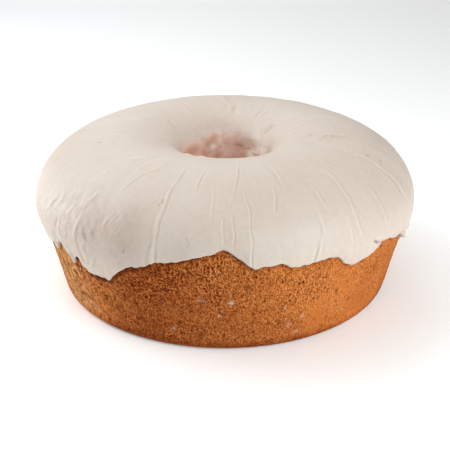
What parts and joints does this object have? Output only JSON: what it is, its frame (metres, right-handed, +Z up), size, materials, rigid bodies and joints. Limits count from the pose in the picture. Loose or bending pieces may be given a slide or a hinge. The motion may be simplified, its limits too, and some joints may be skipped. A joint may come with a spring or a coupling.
{
  "type": "chiffon cake",
  "caption": "Ring-shaped chiffon cake with a flared, browned sponge side and off-white icing over its domed top, its shoulder and the mouth of its central hole.",
  "frame": {"origin": "on the cake's axis, level with the surface that the foot stands on", "axes": "+Z up through the central hole; -Y towards the front, where the icing's edge is highest; +X to the right as seen from the front"},
  "size_m": [0.2503, 0.248, 0.0998],
  "materials": {
    "sponge": "matt browned sponge crumb with fine pores, darker at the bottom edge and pinkish brown in the hole; edible, matte_plastic stands in",
    "icing": "satin off-white icing with fine wrinkles and creases; edible, matte_plastic stands in"
  },
  "bodies": {
    "root": {"sponge": "sponge", "icing": "icing"}
  },
  "joints": []
}
